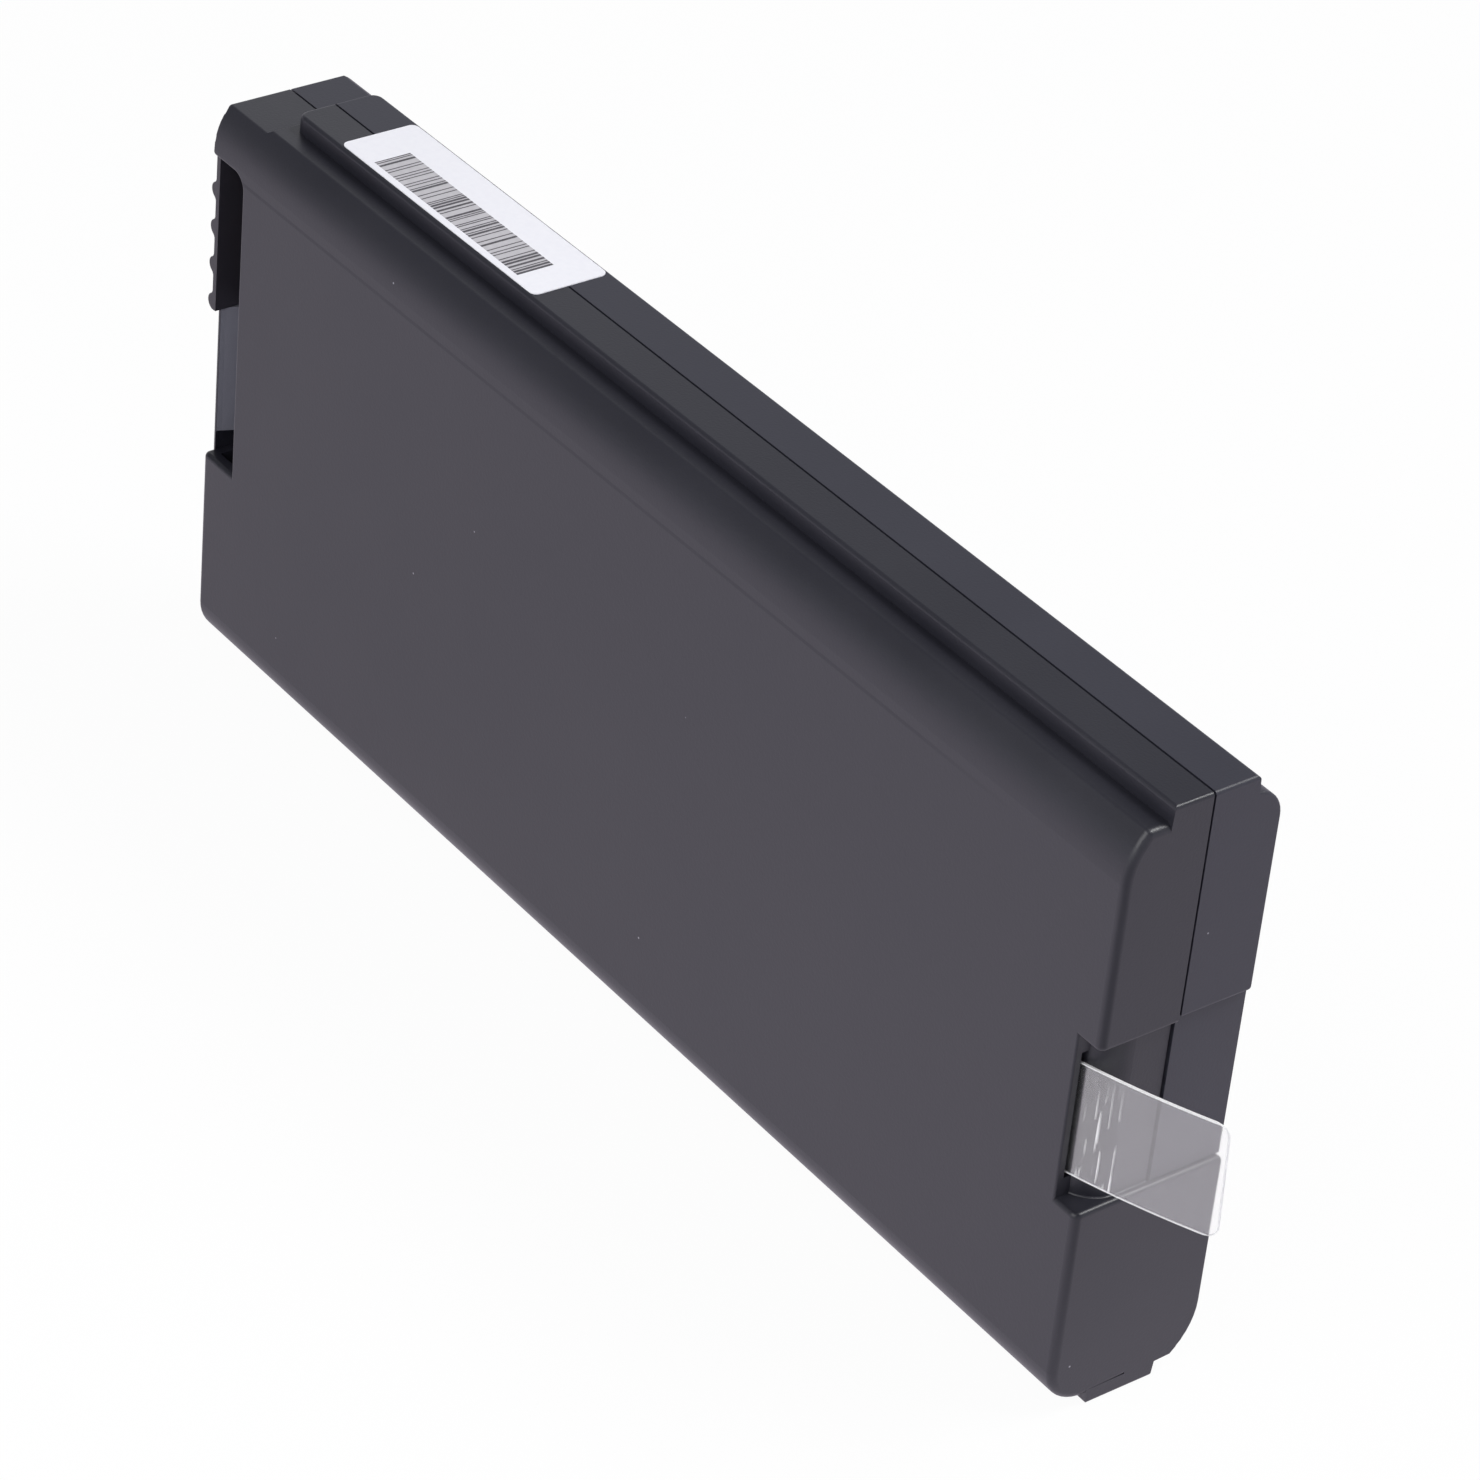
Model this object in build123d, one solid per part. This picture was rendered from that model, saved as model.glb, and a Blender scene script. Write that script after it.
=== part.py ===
"""Laptop battery pack: two moulded half shells round a row of nine cylindrical cells.

Millimetres. X runs along the pack (the pull tab is at +X, the connector at -X), Y through its thickness
(the front face looks along -Y) and Z up. The pack stands on its bottom rail, with the origin under it.
"""
import os
from math import acos, cos, degrees, radians, sin

from build123d import *

# Housing, outside
length = 186.5
thickness = 22.0
height = 85.3
body_bottom = 1.4
shell_wall = 1.75
crown_drop = 6.5
crown_depth = 2.7
crown_round = 0.6
back_top_radius = 4.4
bottom_radius = 5.5
back_bottom_radius = 9.0
back_bottom_turn = 51.0
back_shoulder = 2.1
end_radius = 1.0
crisp_radius = 0.3

# Slide rails along the top and bottom edges
top_rail_rise = 2.3
top_rail_front = -5.2
top_rail_back = 7.0
top_rail_start = 10.3
top_rail_corner = 1.5
bottom_rail_width = 9.8
rail_draft = 0.3
rail_edge = 0.5

# Lower step at the connector end
step_length = 8.8
step_drop = 0.5
step_ramp = 0.8

# Joint between the two shells
seam_y = 0.6
seam_width = 0.3
seam_depth = 0.6
tongue_thickness = 0.7
tongue_height = 1.2
tongue_clearance = 0.05
wrap_clearance = 0.15

# Recess and film slit at the pull tab end
recess_bottom = 30.6
recess_height = 23.8
recess_depth = 1.1
recess_rear_depth = 0.8
recess_front_drop = 0.6
recess_upper_round = 0.6
recess_lower_round = 0.6
recess_foot_round = 0.25
lip_setback = 3.9
lip_thickness = 1.0
lip_round = 0.3
slit_gap = 0.8
slit_margin = 1.2
floor_radius = 4.5
floor_overlap = 1.5

# Clear film pull tab
film_inset = 3.8
film_width = 15.5
film_thickness = 0.2
film_anchor = 2.6
film_straight = 1.2
film_bend_radius = 15.0
film_bend_angle = 23.0
film_free = 12.4
film_corner = 1.8

# Notch and connector at the other end
notch_width = 7.0
notch_bottom = 30.6
notch_drop = 7.4
notch_corner = 2.0
notch_round = 0.6
notch_hole = 2.8
notch_skin = 0.3
guide_depth = 3.5
connector_height = 23.2
connector_inset = 0.65
connector_depth = 13.0
connector_wall = 0.8
connector_clearance = 0.05
rib_count = 4
rib_lift = 1.2
rib_pitch = 5.55
rib_radius = 1.2
rib_reach = 1.0
rib_blend = 0.8
contact_count = 5
contact_pitch = 4.2
contact_thickness = 0.6
contact_width = 1.6
contact_length = 4.4
contact_recess = 5.4
tail_spacing = 1.0
tail_gap = 0.6

# Cells
group_count = 3
cell_clearance = 0.1
cell_gap = 0.1
cell_edge = 0.8
button_diameter = 7.0
button_height = 0.6
row_start = 13.6
row_end = 7.2

# Trays that locate the cell ends
tray_clearance = 0.1
tray_floor = 2.0
tray_rim = 4.0
seat_clearance = 0.1

# Nickel strips and the tabs that lead to the board
strip_thickness = 0.2
strip_width = 8.0
strip_end = 5.0
tab_width = 3.0
tab_clearance = 0.1

# Protection board, on posts of the upper tray
board_start = 7.6
board_length = 104.0
board_width = 15.0
board_thickness = 1.0
board_lift = 2.0
board_headroom = 5.1
post_diameter = 2.6
post_inset = 2.6
paper_thickness = 0.3
paper_clearance = 0.2
paper_inset = 7.0

# Parts on the board: length, width and height of each body
chip_size = (9.7, 4.4, 1.2)
chip_lead = (0.4, 1.0, 0.5)
chip_lead_count = 7
mosfet_size = (5.0, 4.0, 1.5)
mosfet_spacing = 8.0
resistor_size = (6.4, 3.2, 0.7)
fuse_size = (9.5, 4.0, 2.2)
capacitor_size = (2.0, 1.25, 1.2)
capacitor_count = 6
capacitor_spacing = 3.6
chip_place = 46.0
mosfet_place = 22.0
resistor_place = 36.0
fuse_place = 86.0
capacitor_place = 56.0

# Thermistor between two cells
bead_diameter = 2.4
bead_bevel = 0.6
bead_length = 4.0
bead_drop = 12.0
bead_offset = 6.5
lead_diameter = 0.5
lead_spacing = 1.2

# Foam at the end of the row
foam_front = -4.0
foam_back = 8.0
foam_inset = 1.0
foam_clearance = 0.1

# Label on the top rail
label_start = 19.9
label_length = 43.2
label_width = 11.2
label_thickness = 0.12
label_corner = 1.0

# Edges within this distance of a place count as being there
near = 0.01

# Places worked out from the sizes above
left = -length / 2
right = length / 2
front = -thickness / 2
back = thickness / 2
body_top = height - top_rail_rise
step_top = body_top - step_drop
inner_front = front + shell_wall
inner_back = back - shell_wall
inner_bottom = body_bottom + shell_wall
inner_left = left + shell_wall
recess_top = recess_bottom + recess_height
recess_wall = right - recess_depth - shell_wall
lip_edge = right - lip_setback
lip_inside = front + lip_thickness
floor_front = lip_inside + slit_gap
floor_x = right - recess_depth - floor_radius
floor_y = floor_front + floor_radius
floor_turn = degrees(acos((lip_edge - floor_x) / floor_radius))
slit_end = floor_x - floor_overlap - film_anchor
film_bottom = recess_bottom + film_inset
film_top = film_bottom + film_width
notch_edge = left + notch_width
notch_top = body_top - notch_drop
connector_bottom = notch_top - connector_height
connector_front = front + connector_inset
connector_back = inner_front + connector_depth
guide_back = inner_front + guide_depth
cell_diameter = thickness - 2 * (shell_wall + cell_clearance)
cell_pitch = cell_diameter + cell_gap
cell_count = int((length - row_start - row_end) / cell_pitch)
cells_in_group = cell_count // group_count
row_left = left + row_start
row_right = row_left + cell_count * cell_pitch
board_top = step_top - shell_wall - board_headroom
board_bottom = board_top - board_thickness
board_left = left + board_start
board_right = board_left + board_length
cells_under_board = int((board_right - row_left) / cell_pitch)
upper_top = board_bottom - board_lift
upper_floor = upper_top - tray_floor
tray_bottom = inner_bottom + tray_clearance
tray_half_width = inner_back - tray_clearance
cell_bottom = tray_bottom + tray_floor + strip_thickness
cell_top = upper_floor - strip_thickness
cell_length = cell_top - cell_bottom


def block(x0, x1, y0, y1, z0, z1):
    """A box between two corners."""
    return Pos((x0 + x1) / 2, (y0 + y1) / 2, (z0 + z1) / 2) * Box(x1 - x0, y1 - y0, z1 - z0)


def upright(diameter, x, y, z0, z1):
    """A round bar along Z."""
    return Pos(x, y, (z0 + z1) / 2) * Cylinder(diameter / 2, z1 - z0)


def along(section, x0, x1):
    """A cross section in Y and Z carried along X."""
    return Pos(x0, 0, 0) * extrude(Plane.YZ * section, x1 - x0)


def rise(section, z0, z1):
    """A plan in X and Y carried up."""
    return Pos(0, 0, z0) * extrude(section, z1 - z0)


def at_end(solid, x):
    """The edges of a solid's flat end at a place along X."""
    return solid.faces().filter_by(Axis.X).group_by(lambda face: abs(face.center().X - x))[0].edges()


def outer_section(top):
    """The cross section without rails, cut flat at a height: a wide crown in front, round edges behind."""
    crown_foot = (front, body_top - crown_drop)
    crown_edge = (front + crown_depth, body_top)
    low = body_bottom + bottom_radius
    turn = radians(back_bottom_turn)
    bend = (back, back_shoulder + back_bottom_radius * sin(turn))
    shoulder = (back - back_bottom_radius * (1 - cos(turn)), back_shoulder)
    edges = [
        Line((front, low), crown_foot),
        TangentArc(crown_foot, crown_edge, tangent=(0, 1)),
        Line(crown_edge, (back - back_top_radius, body_top)),
        TangentArc((back - back_top_radius, body_top), (back, body_top - back_top_radius), tangent=(1, 0)),
        Line((back, body_top - back_top_radius), bend),
        TangentArc(bend, shoulder, tangent=(0, -1)),
        Line(shoulder, (front + bottom_radius, body_bottom)),
        TangentArc((front + bottom_radius, body_bottom), (front, low), tangent=(-1, 0)),
    ]
    section = make_face(edges) - Pos(0, top + thickness) * Rectangle(2 * thickness, 2 * thickness)
    return soften_crest(section)


def hollow_section():
    """The hollow's cross section, a wall inside the outer one, with round bottom corners for the tray."""
    z_top = step_top - shell_wall
    low = bottom_radius - shell_wall
    high = back_top_radius - shell_wall
    crown_foot = (inner_front, step_top - crown_drop)
    crown_edge = (inner_front + crown_depth, z_top)
    edges = [
        Line((inner_front, inner_bottom + low), crown_foot),
        TangentArc(crown_foot, crown_edge, tangent=(0, 1)),
        Line(crown_edge, (inner_back - high, z_top)),
        TangentArc((inner_back - high, z_top), (inner_back, z_top - high), tangent=(1, 0)),
        Line((inner_back, z_top - high), (inner_back, inner_bottom + low)),
        TangentArc((inner_back, inner_bottom + low), (inner_back - low, inner_bottom), tangent=(0, -1)),
        Line((inner_back - low, inner_bottom), (inner_front + low, inner_bottom)),
        TangentArc((inner_front + low, inner_bottom), (inner_front, inner_bottom + low), tangent=(-1, 0)),
    ]
    return soften_crest(make_face(edges))


def soften_crest(section):
    """Rounds the corner where the crown meets the flat top."""
    return fillet(section.vertices().group_by(Axis.Y)[-1].sort_by(Axis.X)[0], crown_round)


def rail_section(y0, y1, z_root, z_tip):
    """A slide rail's cross section, a little wider at its root."""
    root = [(y0 - rail_draft, z_root), (y1 + rail_draft, z_root)]
    return make_face(Polyline(*root, (y1, z_tip), (y0, z_tip), close=True))


def top_rail():
    """The rail on the top edge: it starts past the step with round corners and ends flush at the far end."""
    section = rail_section(top_rail_front, top_rail_back, body_top - shell_wall, height)
    bar = along(section, left + top_rail_start, right)
    corners = [edge for edge in bar.edges() if edge.center().X < 0 and abs(edge.tangent_at(0.5).Z) > 0.5]
    bar = fillet(corners, top_rail_corner)
    return fillet(bar.faces().sort_by(Axis.Z)[-1].edges(), rail_edge)


def bottom_rail():
    half = bottom_rail_width / 2
    bar = along(rail_section(-half, half, body_bottom + shell_wall / 2, 0), left, right)
    return fillet(bar.faces().sort_by(Axis.Z)[0].edges(), rail_edge)


def outer_form(radius):
    """Everything inside the pack's outer surface, before its openings, with one radius round both ends."""
    step_end = left + step_length
    main = fillet(at_end(along(outer_section(body_top), step_end, right), right), radius)
    step = fillet(at_end(along(outer_section(step_top), left, step_end), left), radius)
    corners = [(step_end, step_top), (step_end + step_ramp, body_top), (step_end, body_top)]
    main -= extrude(Plane.XZ * make_face(Polyline(*corners, close=True)), thickness, both=True)
    return main + step + top_rail() + bottom_rail()


def outside():
    """The outer form: soft ends on the front shell, crisp ones behind and above the notch."""
    soft = block(2 * left, 2 * right, 2 * front, seam_y, -height, 2 * height)
    soft -= block(2 * left, 0, 2 * front, seam_y, notch_bottom, 2 * height)
    return (outer_form(end_radius) & soft) + (outer_form(crisp_radius) - soft)


def inner_form():
    """The hollow for the cells, which stops short behind the recess at the pull tab end."""
    hollow = along(hollow_section(), inner_left, right - shell_wall)
    hollow += block(left + top_rail_start + shell_wall, right - shell_wall, top_rail_front + shell_wall,
                    top_rail_back - shell_wall, step_top - 2 * shell_wall, height - shell_wall)
    backing = block(recess_wall, right, front, back, recess_bottom - shell_wall, recess_top + shell_wall)
    return hollow - backing


def film_pocket():
    """The wall behind the film slit: a rounded corner inside the recess, which the film comes out past."""
    inner_radius = floor_radius - shell_wall
    inner_y = floor_y - inner_radius
    start = slit_end + film_anchor
    end = recess_wall + shell_wall / 2
    edges = [
        Line((start, lip_inside), (end, lip_inside)),
        Line((end, lip_inside), (end, floor_y)),
        Line((end, floor_y), (floor_x + inner_radius, floor_y)),
        TangentArc((floor_x + inner_radius, floor_y), (floor_x, inner_y), tangent=(0, -1)),
        Line((floor_x, inner_y), (start, inner_y)),
        Line((start, inner_y), (start, lip_inside)),
    ]
    return rise(make_face(edges), recess_bottom - shell_wall, recess_top + shell_wall)


def recess_space():
    """The recess between the two end blocks. In front its floor curves round to the foot of the lip."""
    reach = 2 * thickness
    floor = CenterArc((floor_x, floor_y), floor_radius, 0, -floor_turn)
    foot = floor @ 1
    edges = [
        Line((lip_edge, -reach), (right + reach, -reach)),
        Line((right + reach, -reach), (right + reach, seam_y)),
        Line((right + reach, seam_y), (right - recess_depth, seam_y)),
        Line((right - recess_depth, seam_y), floor @ 0),
        floor,
        Line(foot, (lip_edge, -reach)),
    ]
    space = rise(make_face(edges), recess_bottom, recess_top - recess_front_drop)
    rear_x = right - recess_rear_depth
    return space + block(rear_x, right + reach, seam_y, reach, recess_bottom, recess_top)


def slit_space():
    """The slit that the film comes out of, under the lip and over the start of the recess's floor."""
    floor = CenterArc((floor_x, floor_y), floor_radius, -floor_turn, floor_turn - 90)
    edges = [
        Line((slit_end, lip_inside), (lip_edge, lip_inside)),
        Line((lip_edge, lip_inside), floor @ 0),
        floor,
        Line(floor @ 1, (slit_end, floor_front)),
        Line((slit_end, floor_front), (slit_end, lip_inside)),
    ]
    return rise(make_face(edges), film_bottom - slit_margin, film_top + slit_margin)


def outer_rim(solid, z, y0, y1):
    """The outer edges of the pull tab end at one height: what a recess cut there leaves sharp."""
    edges = []
    for edge in solid.edges():
        place = edge.center()
        on_skin = max(place.X - right, front - place.Y, place.Y - back) > -end_radius / 2
        if abs(place.Z - z) < near and place.X > lip_edge and y0 < place.Y < y1 and on_skin:
            edges.append(edge)
    return edges


def recess_foot(solid):
    """The inner edges where the recess's floor meets the lower end block."""
    edges = []
    for edge in solid.edges():
        place = edge.center()
        inside = lip_edge < place.X < right - recess_depth + near and place.Y < seam_y - seam_width
        if abs(place.Z - recess_bottom) < near and inside:
            edges.append(edge)
    return edges


def notch_space():
    """The notch cut through the front wall at the connector end, with a round upper inner corner."""
    cut = block(left - notch_width, notch_edge, front - thickness, inner_front, notch_bottom, notch_top)
    corner = [edge for edge in cut.edges().filter_by(Axis.Y)
              if edge.center().X > left and edge.center().Z > connector_bottom]
    return fillet(corner, notch_corner)


def notch_guide():
    """The pocket behind the notch, under the connector: a wall behind it and one beside it."""
    z0 = notch_bottom + notch_hole
    x1 = notch_edge + shell_wall
    form = block(inner_left, x1, guide_back, guide_back + shell_wall, z0, connector_bottom)
    return form + block(notch_edge, x1, inner_front, guide_back, z0, connector_bottom)


def guide_space():
    """What is cut from the end wall there: a lead-in bevel, and below it a thin skin beside the hole."""
    z0 = notch_bottom + notch_hole
    corners = [(left + notch_skin, inner_front), (inner_left, inner_front), (inner_left, guide_back)]
    bevel = rise(make_face(Polyline(*corners, close=True)), z0, connector_bottom)
    return bevel + block(left + notch_skin, inner_left, inner_front, guide_back, notch_bottom, z0)


def connector_bay():
    """The bay for the connector behind the notch, open through the end wall."""
    return block(left - notch_width, notch_edge, inner_front, connector_back, connector_bottom, notch_top)


def outline_block(inset, y0, y1):
    """The pack's long outline, a wall further in, as a thin block: what lies inside the joint's rim."""
    form = block(left + inset, right - inset, y0, y1, inset, step_top - inset)
    form += block(left + step_length + inset, right - inset, y0, y1, inset, body_top - inset)
    form += block(left + top_rail_start + inset, right - inset, y0, y1, inset, height - inset)
    recess_x = right - recess_depth - inset
    return form - block(recess_x, right, y0, y1, recess_bottom - inset, recess_top + inset)


def wrap(clearance):
    """The lower end wall at the pull tab end, which the front shell carries right round to the back."""
    return block(right - shell_wall - clearance, right + shell_wall, seam_y, back + shell_wall,
                 -shell_wall, recess_bottom + clearance)


def round_front(solid):
    """Softens the front shell's edges round the recess and the notch."""
    solid = fillet(outer_rim(solid, recess_top - recess_front_drop, 2 * front, seam_y), recess_upper_round)
    solid = fillet(outer_rim(solid, recess_bottom, 2 * front, 2 * back), recess_lower_round)
    solid = fillet(recess_foot(solid), recess_foot_round)
    lip = [edge for edge in solid.edges().filter_by(Axis.Z)
           if abs(edge.center().X - lip_edge) < near and abs(edge.center().Y - front) < near]
    solid = fillet(lip, lip_round)
    return fillet(notch_rim(solid), notch_round)


def notch_rim(solid):
    """The notch's outer edges: upright edge and corner on the front, and both ends round to the end wall."""
    edges = []
    for edge in solid.edges():
        place = edge.center()
        at_notch = left - near < place.X < notch_edge + near and place.Y < inner_front - near
        on_front = abs(place.Y - front) < near and notch_bottom - near < place.Z < notch_top + near
        at_height = min(abs(place.Z - notch_bottom), abs(place.Z - notch_top)) < near
        on_end = place.X < left + end_radius / 2 and at_height
        if at_notch and (on_front or on_end):
            edges.append(edge)
    return edges


def shells():
    """The front and rear shells, with a groove along their joint outside and a tongue inside."""
    hollow = inner_form()
    housing = outside() - hollow + film_pocket() - recess_space() - slit_space() - notch_space()
    housing = housing + notch_guide() - guide_space()
    ahead = block(left - length, right + length, front - thickness, seam_y, -height, 2 * height)
    front_half = round_front(housing & (ahead + wrap(0)))
    rear_half = housing - ahead - wrap(wrap_clearance)
    rear_half = fillet(outer_rim(rear_half, recess_top, seam_y, 2 * back), recess_upper_round)
    rebate_width = tongue_thickness + tongue_clearance
    tongue = outline_block(shell_wall - tongue_thickness, seam_y, seam_y + tongue_height) - hollow
    groove = block(left, right, seam_y - seam_width, seam_y, 0, height)
    groove -= outline_block(seam_depth, seam_y - seam_width, seam_y)
    groove -= block(right - shell_wall, right, seam_y - seam_width, seam_y, 0, recess_bottom)
    front_half = front_half + tongue - groove - connector_bay()
    rebate = outline_block(shell_wall - rebate_width, seam_y, seam_y + tongue_height + tongue_clearance)
    rear_half = rear_half - rebate - connector_bay()
    return front_half, rear_half


def connector_housing():
    """The connector's insulator: a box open to the front, whose outer wall stands forward with round ribs."""
    form = block(left, notch_edge - connector_clearance, connector_front, connector_back,
                 connector_bottom + connector_clearance, notch_top - connector_clearance)
    first = connector_bottom + rib_lift
    for i in range(rib_count):
        rib = Rot(90, 0, 0) * Cylinder(rib_radius, seam_y - connector_front)
        middle = (connector_front + seam_y) / 2
        form += Pos(left - rib_reach + rib_radius, middle, first + i * rib_pitch) * rib
    roots = [edge for edge in form.edges().filter_by(Axis.Y)
             if abs(edge.center().X - left) < near and first < edge.center().Z < notch_top - rib_radius]
    form = fillet(roots, rib_blend)
    form -= block(left + connector_wall, notch_edge - connector_wall,
                  inner_front - thickness, connector_back - connector_wall,
                  connector_bottom + connector_wall, notch_top - connector_wall)
    form -= block(left + connector_wall, notch_edge, front, inner_front + connector_clearance,
                  connector_bottom, notch_top)
    form -= block(left + connector_wall, notch_edge - connector_wall, front, guide_back,
                  connector_bottom, connector_bottom + connector_wall)
    return form - contact_blades(connector_clearance)


def contact_blades(grow):
    """Five flat contacts. Each passes through the insulator, then its tail rises to the board."""
    middle = (connector_bottom + notch_top) / 2
    y0 = inner_front + contact_recess - grow
    y1 = inner_front + contact_recess + contact_width + grow
    blades = []
    for i in range(contact_count):
        z = middle + (i - (contact_count - 1) / 2) * contact_pitch
        half = contact_thickness / 2 + grow
        tail = notch_edge + tail_gap + (contact_count - 1 - i) * tail_spacing
        tip = notch_edge - connector_wall - contact_length
        blade = block(tip, tail + contact_thickness, y0, y1, z - half, z + half)
        blade += block(tail, tail + contact_thickness, y0, y1, z - half, board_bottom)
        blades.append(blade)
    return blades


def cell(index):
    """A sealed can in its sleeve, turned about its axis: bevelled rims and a button at its positive end."""
    can_radius = cell_diameter / 2
    button_radius = button_diameter / 2
    shoulder = cell_length - button_height
    profile = [
        (0, 0), (can_radius - cell_edge, 0), (can_radius, cell_edge),
        (can_radius, shoulder - cell_edge), (can_radius - cell_edge, shoulder),
        (button_radius, shoulder), (button_radius, cell_length), (0, cell_length),
    ]
    can = revolve(Plane.XZ * make_face(Polyline(*profile, close=True)), Axis.Z)
    if min(index // cells_in_group, group_count - 1) % 2:
        can = Pos(0, 0, cell_length) * (Rot(180, 0, 0) * can)
    return Pos(cell_x(index), 0, cell_bottom) * can


def tray(z0, z1):
    """The block that a holder for the cell ends is made from."""
    return block(row_left, row_right, -tray_half_width, tray_half_width, z0, z1)


def seats(z0, z1):
    """Round seats for the cells and a channel for the strips: only pillars stand between them."""
    half = strip_width / 2 + seat_clearance
    form = block(row_left, row_right, -half, half, z0, z1)
    for i in range(cell_count):
        form += upright(cell_diameter + 2 * seat_clearance, cell_x(i), 0, z0, z1)
    return form


def lower_cell_tray():
    """The lower holder follows the round bottom corners of the shells."""
    rim = tray_bottom + tray_floor + tray_rim
    form = tray(tray_bottom, rim)
    form = fillet(form.edges().filter_by(Axis.X).group_by(Axis.Z)[0], bottom_radius - shell_wall)
    return form - seats(tray_bottom + tray_floor, rim)


def upper_cell_tray():
    """The upper holder also carries the board on posts, with slots for two strip tabs and the thermistor."""
    form = tray(upper_floor - tray_rim, upper_top) - seats(upper_floor - tray_rim, upper_floor)
    for x, y in post_places():
        form += upright(post_diameter, x, y, upper_floor, board_bottom)
    for x in (upper_tab_x(), positive_tab_x()):
        form -= block(x - tab_clearance, x + tab_width + tab_clearance, tab_y() - tab_clearance,
                      tab_y() + strip_thickness + tab_clearance, upper_floor - tray_rim, upper_top)
    x, y = bead_place()
    return form - upright(bead_diameter, x, y, upper_floor - tray_rim, upper_top)


def post_places():
    x0 = row_left + post_inset
    x1 = board_right - post_inset
    y = board_width / 2 - post_inset
    return [(x, side * y) for x in (x0, (x0 + x1) / 2, x1) for side in (-1, 1)]


def cell_x(index):
    return row_left + (index + 0.5) * cell_pitch


def upper_tab_x():
    return cell_x(cells_in_group // 2) - tab_width / 2


def positive_tab_x():
    """In the third group, past the end of the board."""
    return cell_x(max(2 * cells_in_group, cells_under_board + 1)) - tab_width / 2


def tab_y():
    return -strip_width / 2


def strip(first, last, z):
    """A nickel strip welded across the ends of a run of cells."""
    half = strip_width / 2
    return block(cell_x(first) - strip_end, cell_x(last) + strip_end, -half, half, z, z + strip_thickness)


def board_lead(x, y0, y1):
    """A flat lead along the upper tray, turned up at its end to meet the board."""
    end = board_right - post_inset
    form = block(end, x, y0, y1, upper_top, upper_top + strip_thickness)
    return form + block(end, end + strip_thickness, y0, y1, upper_top, board_bottom)


def negative_bus():
    """Bottom of the first group, with a tab up the end of the row to the board."""
    z = cell_bottom - strip_thickness
    x = row_left - tab_clearance - strip_thickness
    form = strip(0, cells_in_group - 1, z)
    form += block(x, cell_x(0), 0, tab_width, z, z + strip_thickness)
    return form + block(x, x + strip_thickness, 0, tab_width, z, board_bottom)


def lower_link_bus():
    """Joins the second and third groups below. Its tab runs up the far end and back over the upper tray."""
    z = cell_bottom - strip_thickness
    x = row_right + tab_clearance
    form = strip(cells_in_group, cell_count - 1, z)
    last_x = cell_x(cell_count - 1)
    form += block(last_x, x + strip_thickness, tab_clearance, tab_width, z, z + strip_thickness)
    form += block(x, x + strip_thickness, tab_clearance, tab_width, z, upper_top + strip_thickness)
    return form + board_lead(x + strip_thickness, tab_clearance, tab_width)


def upper_link_bus():
    """Joins the first and second groups above, with a tab straight up to the board."""
    x = upper_tab_x()
    form = strip(0, 2 * cells_in_group - 1, cell_top)
    return form + block(x, x + tab_width, tab_y(), tab_y() + strip_thickness, cell_top, board_bottom)


def positive_bus():
    """Top of the third group. Its tab comes up through the tray and runs along it to the board."""
    x = positive_tab_x()
    y = tab_y()
    form = strip(2 * cells_in_group, cell_count - 1, cell_top)
    form += block(x, x + tab_width, y, y + strip_thickness, cell_top, upper_top + strip_thickness)
    form += block(x, x + tab_width, y, -tab_clearance, upper_top, upper_top + strip_thickness)
    return form + board_lead(x + tab_width, -tab_width, -tab_clearance)


def bead_place():
    """In the last valley between two cells that the board covers."""
    return cell_x(cells_under_board - 1) + cell_pitch / 2, -bead_offset


def thermistor():
    """A coated bead in the valley between two cells, with two leads up to the board."""
    x, y = bead_place()
    top = upper_floor - bead_drop
    form = chamfer(upright(bead_diameter, x, y, top - bead_length, top).edges(), bead_bevel)
    for side in (-1, 1):
        form += upright(lead_diameter, x + side * lead_spacing / 2, y, top - bead_length / 2, board_bottom)
    return form


def protection_board():
    return block(board_left, board_right, -board_width / 2, board_width / 2, board_bottom, board_top)


def on_board(size, x, y):
    """A part's body standing on the board."""
    return Pos(x, y, board_top + size[2] / 2) * Box(*size)


def gauge_chip():
    """A small outline package: a body and two rows of leads."""
    x = board_left + chip_place
    form = chamfer(on_board(chip_size, x, 0).edges().group_by(Axis.Z)[-1], chip_size[2] / 6)
    for i in range(chip_lead_count):
        lead_x = x + (i - (chip_lead_count - 1) / 2) * chip_size[0] / chip_lead_count
        for side in (-1, 1):
            form += on_board(chip_lead, lead_x, side * (chip_size[1] + chip_lead[1]) / 2)
    return form


def switch_mosfets():
    x = board_left + mosfet_place
    bodies = [on_board(mosfet_size, x + side * mosfet_spacing / 2, 0) for side in (-1, 1)]
    return [chamfer(body.edges().group_by(Axis.Z)[-1], mosfet_size[2] / 6) for body in bodies]


def thermal_fuse():
    body = on_board(fuse_size, board_left + fuse_place, 0)
    return fillet(body.edges().filter_by(Axis.Z), fuse_size[1] / 4)


def sense_resistor():
    body = on_board(resistor_size, board_left + resistor_place, 0)
    return chamfer(body.edges().group_by(Axis.Z)[-1], resistor_size[2] / 5)


def capacitors():
    x = board_left + capacitor_place
    bodies = [on_board(capacitor_size, x + i * capacitor_spacing, 0) for i in range(capacitor_count)]
    return [chamfer(body.edges().group_by(Axis.Z)[-1], capacitor_size[2] / 8) for body in bodies]


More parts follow.
